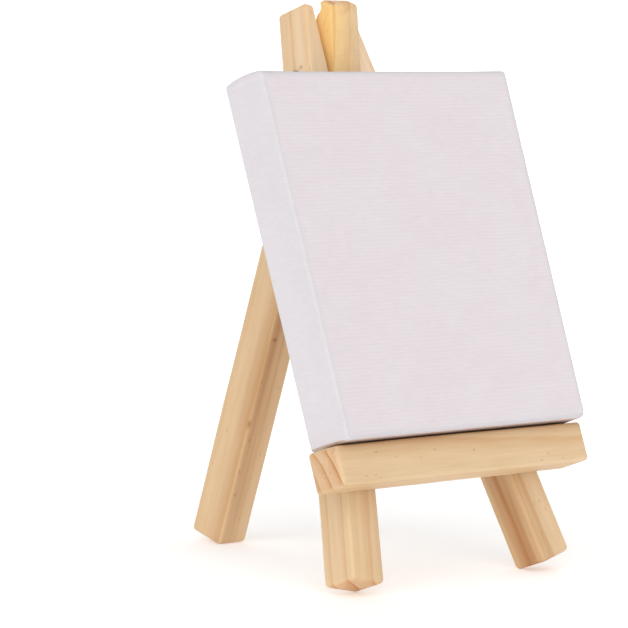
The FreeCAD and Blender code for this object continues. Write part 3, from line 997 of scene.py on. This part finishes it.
def build_stage():
    """Pale floor, soft light and the camera."""
    scene = bpy.context.scene
    body = bmesh.new()
    away = Matrix.Rotation(math.radians(-45.0), 4, "Z")
    outline = [(-9.0, 0.0), (-1.0, 0.0), (0.0, 0.0), (0.8, 0.0), (1.4, 0.0)]
    for step in range(1, 17):
        turn = math.radians(90.0 * step / 16)
        outline.append((1.4 + 1.2 * math.sin(turn), 1.2 * (1.0 - math.cos(turn))))
    outline.append((2.6, 4.0))
    rows = []
    for forward, rise in outline:
        rows.append([body.verts.new(away @ Vector((across, forward, rise - 0.00002)))
                     for across in (-3.0, -1.5, 0.0, 1.5, 3.0)])
    for near, far in zip(rows, rows[1:]):
        for index in range(4):
            body.faces.new((near[index], near[index + 1], far[index + 1], far[index]))
    for face in body.faces:
        face.smooth = True
    mesh = bpy.data.meshes.new("pale_floor")
    body.to_mesh(mesh)
    body.free()
    floor = bpy.data.objects.new("pale_floor", mesh)
    scene.collection.objects.link(floor)
    material, tree, shader = new_material("matt_floor")
    soft = node(tree, "ShaderNodeTexNoise", Scale=3.0, Detail=2.0)
    place = node(tree, "ShaderNodeTexCoord")
    tree.links.new(place.outputs["Object"], soft.inputs["Vector"])
    tone = ramp(tree, soft.outputs[0], [(0.3, (0.992, 0.992, 0.994)), (0.7, (1.0, 1.0, 1.0))])
    tree.links.new(mix(tree, "MULTIPLY", 1.0, tuple(colours().floor), tone), shader.inputs["Base Color"])
    shader.inputs["Roughness"].default_value = 0.8
    shader.inputs["Specular IOR Level"].default_value = 0.2
    shader.inputs["Emission Color"].default_value = (1.0, 1.0, 1.0, 1.0)
    shader.inputs["Emission Strength"].default_value = 0.31
    mesh.materials.append(material)

    world = bpy.data.worlds.new("white_room")
    world.use_nodes = True
    back = world.node_tree.nodes["Background"]
    back.inputs["Color"].default_value = (1.0, 1.0, 1.0, 1.0)
    back.inputs["Strength"].default_value = 0.34
    scene.world = world

    def soft_sun(name, towards, strength, spread, tint):
        """A very large soft light in the given direction."""
        data = bpy.data.lights.new(name, "SUN")
        data.energy = strength
        data.angle = math.radians(spread)
        data.color = tint
        lamp = bpy.data.objects.new(name, data)
        lamp.rotation_euler = Vector(towards).to_track_quat("Z", "Y").to_euler()
        scene.collection.objects.link(lamp)

    soft_sun("key_light", (-0.68, -0.52, 0.52), 1.94, 80.0, (1.0, 0.985, 0.965))
    soft_sun("front_light", (0.30, -0.75, 0.58), 0.30, 110.0, (0.98, 0.99, 1.0))

    camera_data = bpy.data.cameras.new("camera")
    camera_data.sensor_width = 36.0
    camera_data.lens = CAMERA_LENS
    camera_data.clip_start = 0.05
    camera_data.clip_end = 50.0
    camera = bpy.data.objects.new("camera", camera_data)
    camera.location = frame_matrix() @ (Vector(CAMERA_PLACE) * MM)
    camera.rotation_euler = Euler([math.radians(turn) for turn in CAMERA_TURN])
    scene.collection.objects.link(camera)
    scene.camera = camera
    scene.view_settings.view_transform = "Standard"
    scene.view_settings.look = "None"


# --- Operators ------------------------------------------------------------

class EASEL_OT_front_legs(bpy.types.Operator):
    """Build the two spread front legs"""
    bl_idname = "easel.front_legs"
    bl_label = "Front legs"

    def execute(self, context):
        build_front_leg(-1)
        build_front_leg(1)
        return {"FINISHED"}


class EASEL_OT_rear_leg(bpy.types.Operator):
    """Build the folding rear leg"""
    bl_idname = "easel.rear_leg"
    bl_label = "Rear leg"

    def execute(self, context):
        build_rear_leg()
        return {"FINISHED"}


class EASEL_OT_shelf(bpy.types.Operator):
    """Build the shelf"""
    bl_idname = "easel.shelf"
    bl_label = "Shelf"

    def execute(self, context):
        build_shelf()
        return {"FINISHED"}


class EASEL_OT_stretcher_bars(bpy.types.Operator):
    """Build the four stretcher bars"""
    bl_idname = "easel.stretcher_bars"
    bl_label = "Stretcher bars"

    def execute(self, context):
        build_bars()
        return {"FINISHED"}


class EASEL_OT_cloth(bpy.types.Operator):
    """Build the stretched cloth"""
    bl_idname = "easel.cloth"
    bl_label = "Canvas cloth"

    def execute(self, context):
        build_cloth()
        return {"FINISHED"}


class EASEL_OT_fixings(bpy.types.Operator):
    """Finish the pin, brads and staples"""
    bl_idname = "easel.fixings"
    bl_label = "Pin, brads and staples"

    def execute(self, context):
        build_fixings()
        return {"FINISHED"}


class EASEL_OT_stage(bpy.types.Operator):
    """Set up the floor, light and camera"""
    bl_idname = "easel.stage"
    bl_label = "Stage"

    def execute(self, context):
        build_stage()
        return {"FINISHED"}


STEPS = (EASEL_OT_front_legs, EASEL_OT_rear_leg, EASEL_OT_shelf, EASEL_OT_stretcher_bars,
         EASEL_OT_cloth, EASEL_OT_fixings, EASEL_OT_stage)


class EASEL_PT_panel(bpy.types.Panel):
    bl_idname = "EASEL_PT_panel"
    bl_label = "Tabletop display easel"
    bl_space_type = "VIEW_3D"
    bl_region_type = "UI"
    bl_category = "Easel"

    def draw(self, context):
        layout = self.layout
        for step in STEPS:
            layout.operator(step.bl_idname)
        for title, group in (("Sizes", context.scene.easel_sizes), ("Colours", context.scene.easel_colours)):
            box = layout.box()
            box.label(text=title)
            for key in group.__annotations__:
                box.prop(group, key)


CLASSES = (EaselSizes, EaselColours) + STEPS + (EASEL_PT_panel,)


def register():
    for item in CLASSES:
        bpy.utils.register_class(item)
    bpy.types.Scene.easel_sizes = PointerProperty(type=EaselSizes)
    bpy.types.Scene.easel_colours = PointerProperty(type=EaselColours)


def unregister():
    del bpy.types.Scene.easel_colours
    del bpy.types.Scene.easel_sizes
    for item in reversed(CLASSES):
        bpy.utils.unregister_class(item)


def main():
    register()
    bpy.ops.easel.front_legs()
    bpy.ops.easel.rear_leg()
    bpy.ops.easel.shelf()
    bpy.ops.easel.stretcher_bars()
    bpy.ops.easel.cloth()
    bpy.ops.easel.fixings()
    bpy.ops.easel.stage()


if __name__ == "__main__":
    main()
